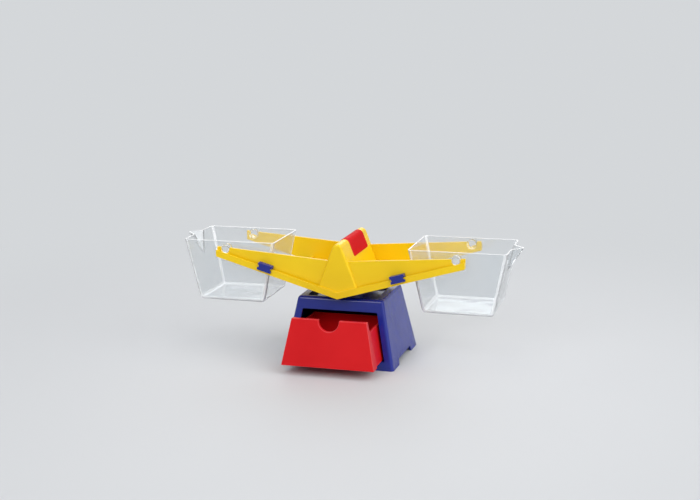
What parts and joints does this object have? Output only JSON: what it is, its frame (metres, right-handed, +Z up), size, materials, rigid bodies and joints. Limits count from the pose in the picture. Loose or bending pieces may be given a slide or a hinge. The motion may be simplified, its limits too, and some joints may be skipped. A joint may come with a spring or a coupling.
{
  "type": "toy balance scale",
  "caption": "Children's bucket balance: a boat-shaped beam tilts on a fulcrum above a tapered base with a drawer and carries hanging pouring buckets and zeroing sliders.",
  "frame": {"origin": "on the ground, under the middle of the whole balance as it stands with its drawer open as pictured", "axes": "+X to the right along the beam, +Y to the rear, away from the drawer's front, +Z up"},
  "size_m": [0.4046, 0.151, 0.1427],
  "materials": {
    "blue_plastic": "moulded, satin gloss",
    "yellow_plastic": "moulded, satin gloss",
    "red_plastic": "moulded, satin gloss",
    "clear_plastic": "clear, polished",
    "screw_steel": "zinc plated"
  },
  "bodies": {
    "base": {"base_housing": "blue_plastic", "base_plate": "blue_plastic", "plate_screw_front_left": "screw_steel", "plate_screw_front_right": "screw_steel", "plate_screw_rear_left": "screw_steel", "plate_screw_rear_right": "screw_steel", "fulcrum_post": "blue_plastic", "fulcrum_screw_front": "screw_steel", "fulcrum_screw_rear": "screw_steel"},
    "drawer": {"drawer": "red_plastic"},
    "beam": {"beam": "yellow_plastic", "index_cap": "red_plastic"},
    "slider_left": {"slider_left": "blue_plastic"},
    "slider_right": {"slider_right": "blue_plastic"},
    "bucket_left": {"bucket_left": "clear_plastic"},
    "bucket_right": {"bucket_right": "clear_plastic"}
  },
  "joints": [
    {"name": "beam_tilt", "type": "hinge", "parent": "base", "child": "beam", "pos_m": [0, 0.0195, 0.1362], "axis": [0, 1, 0], "range_deg": [-17, 17]},
    {"name": "bucket_left_swing", "type": "hinge", "parent": "beam", "child": "bucket_left", "pos_m": [-0.1353, 0.0195, 0.12983], "axis": [0, -1, 0], "range_deg": [-20, 20]},
    {"name": "bucket_right_swing", "type": "hinge", "parent": "beam", "child": "bucket_right", "pos_m": [0.1353, 0.0195, 0.12983], "axis": [0, -1, 0], "range_deg": [-20, 20]},
    {"name": "slider_left_slide", "type": "slide", "parent": "beam", "child": "slider_left", "axis": [-0.9604, 0, 0.2785], "range_m": [-0.0545, 0.0355]},
    {"name": "slider_right_slide", "type": "slide", "parent": "beam", "child": "slider_right", "axis": [0.9604, 0, 0.2785], "range_m": [-0.039, 0.0515]},
    {"name": "drawer_slide", "type": "slide", "parent": "base", "child": "drawer", "axis": [0, -1, 0], "range_m": [-0.041, 0.025]}
  ]
}
